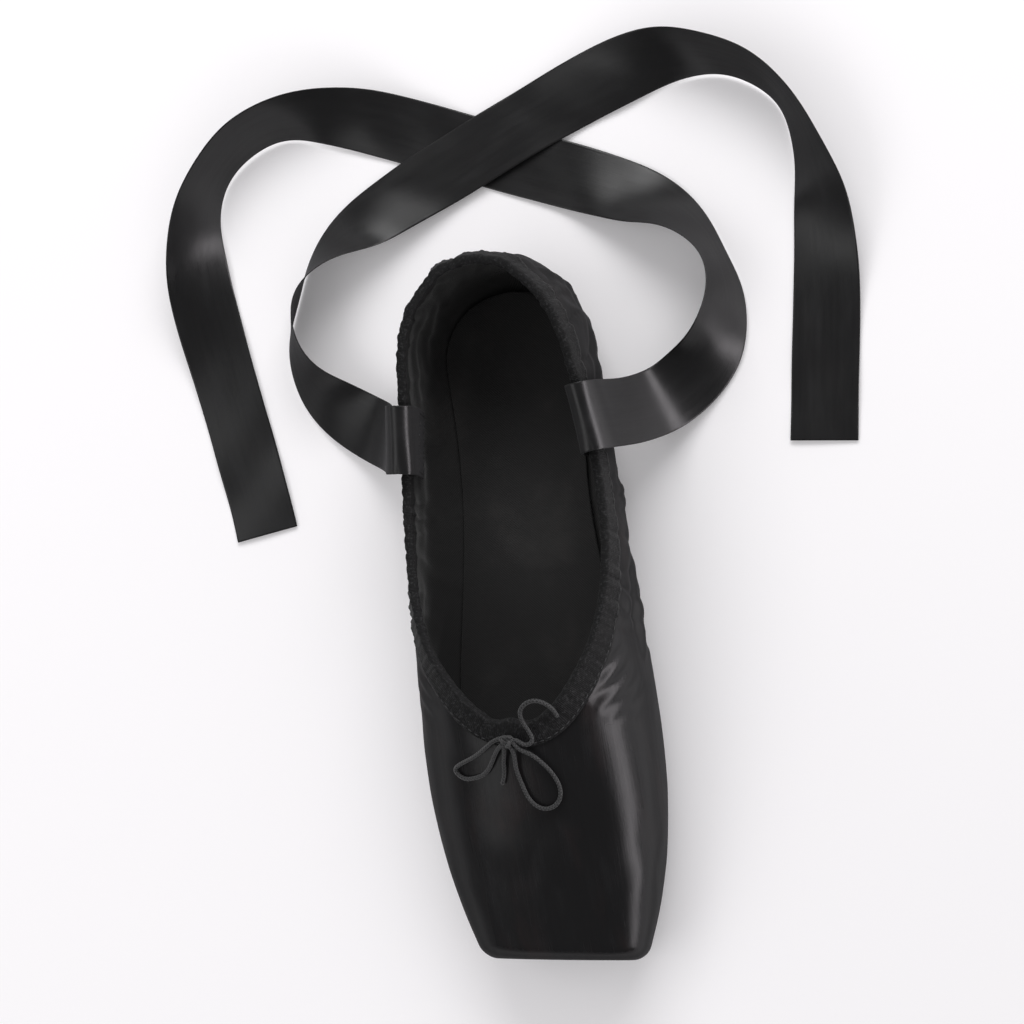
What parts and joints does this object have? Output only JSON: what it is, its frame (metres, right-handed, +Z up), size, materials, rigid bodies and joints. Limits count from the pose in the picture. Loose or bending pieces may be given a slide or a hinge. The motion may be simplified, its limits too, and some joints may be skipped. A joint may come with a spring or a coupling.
{
  "type": "pointe shoe",
  "caption": "Straight-lasted ballet pointe shoe with a stiff box, flat platform, satin upper, drawstring bow, leather sole and loose satin ribbons.",
  "frame": {"origin": "on the floor under the middle of the shoe, ribbons and bow left out", "axes": "+Z up, -Y towards the toe and the platform, +Y towards the heel, +X towards the big-toe side"},
  "size_m": [0.2451, 0.3125, 0.0616],
  "materials": {
    "satin": "black satin with a soft lengthwise sheen",
    "sole_leather": "dark buffed sole leather",
    "insole_cotton": "matte black cotton twill",
    "binding_cotton": "matte black cotton tape",
    "drawstring": "black braided cotton cord",
    "ribbon_satin": "black satin ribbon"
  },
  "bodies": {
    "root": {"upper": "satin", "outsole": "sole_leather", "insole": "insole_cotton", "collar_binding": "binding_cotton", "drawstring_knot": "drawstring", "drawstring_loop_long": "drawstring", "drawstring_loop_short": "drawstring", "drawstring_end_long": "drawstring", "drawstring_end_short": "drawstring", "ribbon_medial": "ribbon_satin", "ribbon_lateral": "ribbon_satin"}
  },
  "joints": []
}
